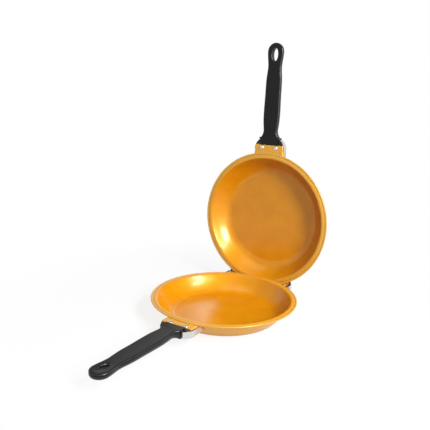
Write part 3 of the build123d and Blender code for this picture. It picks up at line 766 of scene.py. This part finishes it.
class FLIPPAN_OT_rivets(bpy.types.Operator):
    """Domed handle rivet heads"""
    bl_idname = "flip_pan.rivets"
    bl_label = "Rivets"

    def execute(self, context):
        size = sizes()
        for half in HALVES:
            bm = bmesh.new()
            for side in (-1, 1):
                centre = (side * size.rivet_spacing / 2, -size.rivet_reach, -size.ear_drop)
                turned(bm, RIVET_HEAD, RIVET_STEPS, centre)
            finish_piece(bm, f"{half}_rivet_heads", half, finish("rivet"),
                         smooth=60.0)
        return {"FINISHED"}


class FLIPPAN_OT_handles(bpy.types.Operator):
    """Moulded handles with collar, root and hanging hole"""
    bl_idname = "flip_pan.handles"
    bl_label = "Handles"

    def execute(self, context):
        for half in HALVES:
            node_copy(f"{half}_handle", f"{half}_grip", half, finish("phenolic", half),
                      smooth=38.0)
        return {"FINISHED"}


class FLIPPAN_OT_small_parts(bpy.types.Operator):
    """Finishes of the pins, washers, screws, tangs and rivet shanks"""
    bl_idname = "flip_pan.small_parts"
    bl_label = "Small parts"

    def execute(self, context):
        for name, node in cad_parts.items():
            if name.endswith(("_pin", "_washer", "_screw", "_tang")):
                material = finish("plated")
            elif name.endswith("_rivets"):
                material = finish("rivet")
            else:
                continue
            node.data.materials.clear()
            node.data.materials.append(material)
        return {"FINISHED"}


# ------------------------------------------------------------------ stage
AIM = (0, 0.05, 0.1)                             # middle of the open pan
FLOOR_REACH = 6.0
SENSOR = 36.0                                    # mm
LENS = 48.11                                     # mm
CAMERA_PLACE = (0.4567, -0.7642, 0.3561)         # above the rim plane of the lower half
CAMERA_FORWARD = (-0.515, 0.8233, -0.2386)
CAMERA_AZIMUTH = -32.027                         # degrees
CAMERA_ROLL = 1.519                              # degrees


def around(azimuth, elevation, distance):
    """A point in that direction from the aim; azimuth is from +X."""
    a, e = radians(azimuth), radians(elevation)
    return Vector(AIM) + distance * Vector((cos(a) * cos(e), sin(a) * cos(e), sin(e)))


# name, place, target, width and height in metres, power in watts
LAMPS = (
    ("key_lamp", around(-24, 29, 1.5), AIM, 0.30, 0.56, 25),
    ("side_lamp", around(2, 45, 1.5), AIM, 0.52, 0.16, 10.5),
    ("streak_lamp", (-0.62, 0.906, 0.48), (-0.023, -0.02, 0.003), 0.06, 0.30, 0.12),
    ("edge_lamp", (0.69, 0.74, 0.17), (0, 0.1, 0.3), 0.12, 0.28, 0.6),
    ("fill_lamp", around(-38, 10, 2.2), AIM, 2.6, 1.6, 10),
    ("top_lamp", around(-110, 72, 1.7), AIM, 1.2, 1.0, 4.5),
)


def area_lamp(name, place, target, width, height, power):
    """A rectangular lamp turned to its target, unseen by the camera."""
    data = bpy.data.lights.new(name, "AREA")
    data.shape = "RECTANGLE"
    data.size, data.size_y, data.energy = width, height, power
    lamp = bpy.data.objects.new(name, data)
    bpy.context.scene.collection.objects.link(lamp)
    lamp.visible_camera = False
    lamp.location = place
    towards = Vector(target) - Vector(place)
    lamp.rotation_euler = towards.to_track_quat("-Z", "Y").to_euler()


class FLIPPAN_OT_stage(bpy.types.Operator):
    """Plain pale floor, soft light and the camera"""
    bl_idname = "flip_pan.stage"
    bl_label = "Stage"

    def execute(self, context):
        scene = context.scene
        scene.view_settings.view_transform = "Standard"
        self.make_world(scene)
        self.make_floor(scene)
        for lamp in LAMPS:
            area_lamp(*lamp)
        self.make_camera(scene)
        return {"FINISHED"}

    def make_camera(self, scene):
        camera = bpy.data.cameras.new("camera")
        camera.sensor_width = SENSOR
        camera.lens = LENS
        camera.clip_start = 0.01
        stand = bpy.data.objects.new("camera", camera)
        scene.collection.objects.link(stand)
        azimuth, roll = radians(CAMERA_AZIMUTH), radians(CAMERA_ROLL)
        forward = Vector(CAMERA_FORWARD).normalized()
        level = Vector((cos(azimuth), -sin(azimuth), 0))
        upright = level.cross(forward)
        right = level * cos(roll) + upright * sin(roll)
        up = upright * cos(roll) - level * sin(roll)
        turn = Matrix((right, up, -forward)).transposed().to_4x4()
        place = Vector(CAMERA_PLACE) + Vector((0, 0, PAN_HEIGHT))
        stand.matrix_world = Matrix.Translation(place) @ turn
        scene.camera = stand

    def make_world(self, scene):
        """A dim sky for the light, and a white one for rays that see it."""
        world = bpy.data.worlds.new("studio")
        scene.world = world
        world.use_nodes = True
        tree = world.node_tree
        tree.nodes.clear()
        output = tree.nodes.new("ShaderNodeOutputWorld")
        lit = tree.nodes.new("ShaderNodeBackground")
        lit.inputs["Color"].default_value = (0.95, 0.97, 1.0, 1)
        lit.inputs["Strength"].default_value = 0.14
        seen = tree.nodes.new("ShaderNodeBackground")
        seen.inputs["Color"].default_value = (1, 1, 1, 1)
        direction = tree.nodes.new("ShaderNodeTexCoord")
        upward = separate(tree, direction.outputs["Object"])["Z"]
        tree.links.new(map_range(tree, upward, 0.3, 0.75, 1.0, 0.35), seen.inputs["Strength"])
        mix = tree.nodes.new("ShaderNodeMixShader")
        tree.links.new(seen_ray(tree), mix.inputs["Fac"])
        tree.links.new(lit.outputs["Background"], mix.inputs[1])
        tree.links.new(seen.outputs["Background"], mix.inputs[2])
        tree.links.new(mix.outputs["Shader"], output.inputs["Surface"])

    def make_floor(self, scene):
        """A card that looks white and keeps the pan's shadow near it."""
        bm = bmesh.new()
        bmesh.ops.create_grid(bm, x_segments=8, y_segments=8, size=FLOOR_REACH)
        mesh = bpy.data.meshes.new("floor")
        bm.to_mesh(mesh)
        bm.free()
        floor = bpy.data.objects.new("floor", mesh)
        scene.collection.objects.link(floor)
        material, tree, shader = new_material("floor_card")
        shader.inputs["Roughness"].default_value = 0.9
        shader.inputs["Specular IOR Level"].default_value = 0.1
        output = next(n for n in tree.nodes if n.type == "OUTPUT_MATERIAL")
        glow = tree.nodes.new("ShaderNodeEmission")
        glow.inputs["Strength"].default_value = 1.0
        mix = tree.nodes.new("ShaderNodeMixShader")
        coordinate = tree.nodes.new("ShaderNodeTexCoord")
        away = tree.nodes.new("ShaderNodeVectorMath")
        away.operation = "LENGTH"
        tree.links.new(coordinate.outputs["Object"], away.inputs[0])
        share = map_range(tree, away.outputs["Value"], 0.15, 0.45, 0.84, 1.0)
        seen = seen_ray(tree)
        tree.links.new(map_range(tree, seen, 0.0, 1.0, 0.22, 0.92), shader.inputs["Base Color"])
        tree.links.new(math(tree, "MULTIPLY", seen, share), mix.inputs["Fac"])
        tree.links.new(shader.outputs["BSDF"], mix.inputs[1])
        tree.links.new(glow.outputs["Emission"], mix.inputs[2])
        tree.links.new(mix.outputs["Shader"], output.inputs["Surface"])
        mesh.materials.append(material)


STEPS = (
    FLIPPAN_OT_bowls, FLIPPAN_OT_handle_ears, FLIPPAN_OT_hinge_ears, FLIPPAN_OT_brackets,
    FLIPPAN_OT_rivets, FLIPPAN_OT_handles, FLIPPAN_OT_small_parts, FLIPPAN_OT_stage,
)


class FLIPPAN_PT_sidebar(bpy.types.Panel):
    """Lists the steps that dress the pan"""
    bl_idname = "FLIPPAN_PT_sidebar"
    bl_label = "Flip pan"
    bl_space_type = "VIEW_3D"
    bl_region_type = "UI"
    bl_category = "Flip pan"

    def draw(self, context):
        for step in STEPS:
            self.layout.operator(step.bl_idname)
        for group in (sizes(), colours()):
            for key in group.bl_rna.properties.keys():
                if key not in ("rna_type", "name"):
                    self.layout.prop(group, key)


CLASSES = (FlipPanSizes, FlipPanColours, *STEPS, FLIPPAN_PT_sidebar)


def register():
    for cls in CLASSES:
        bpy.utils.register_class(cls)
    bpy.types.Scene.flip_pan_sizes = bpy.props.PointerProperty(type=FlipPanSizes)
    bpy.types.Scene.flip_pan_colours = bpy.props.PointerProperty(type=FlipPanColours)


def unregister():
    del bpy.types.Scene.flip_pan_sizes
    del bpy.types.Scene.flip_pan_colours
    for cls in reversed(CLASSES):
        bpy.utils.unregister_class(cls)


def main():
    register()
    for step in STEPS:
        group, name = step.bl_idname.split(".")
        getattr(getattr(bpy.ops, group), name)()


if __name__ == "__main__":
    main()
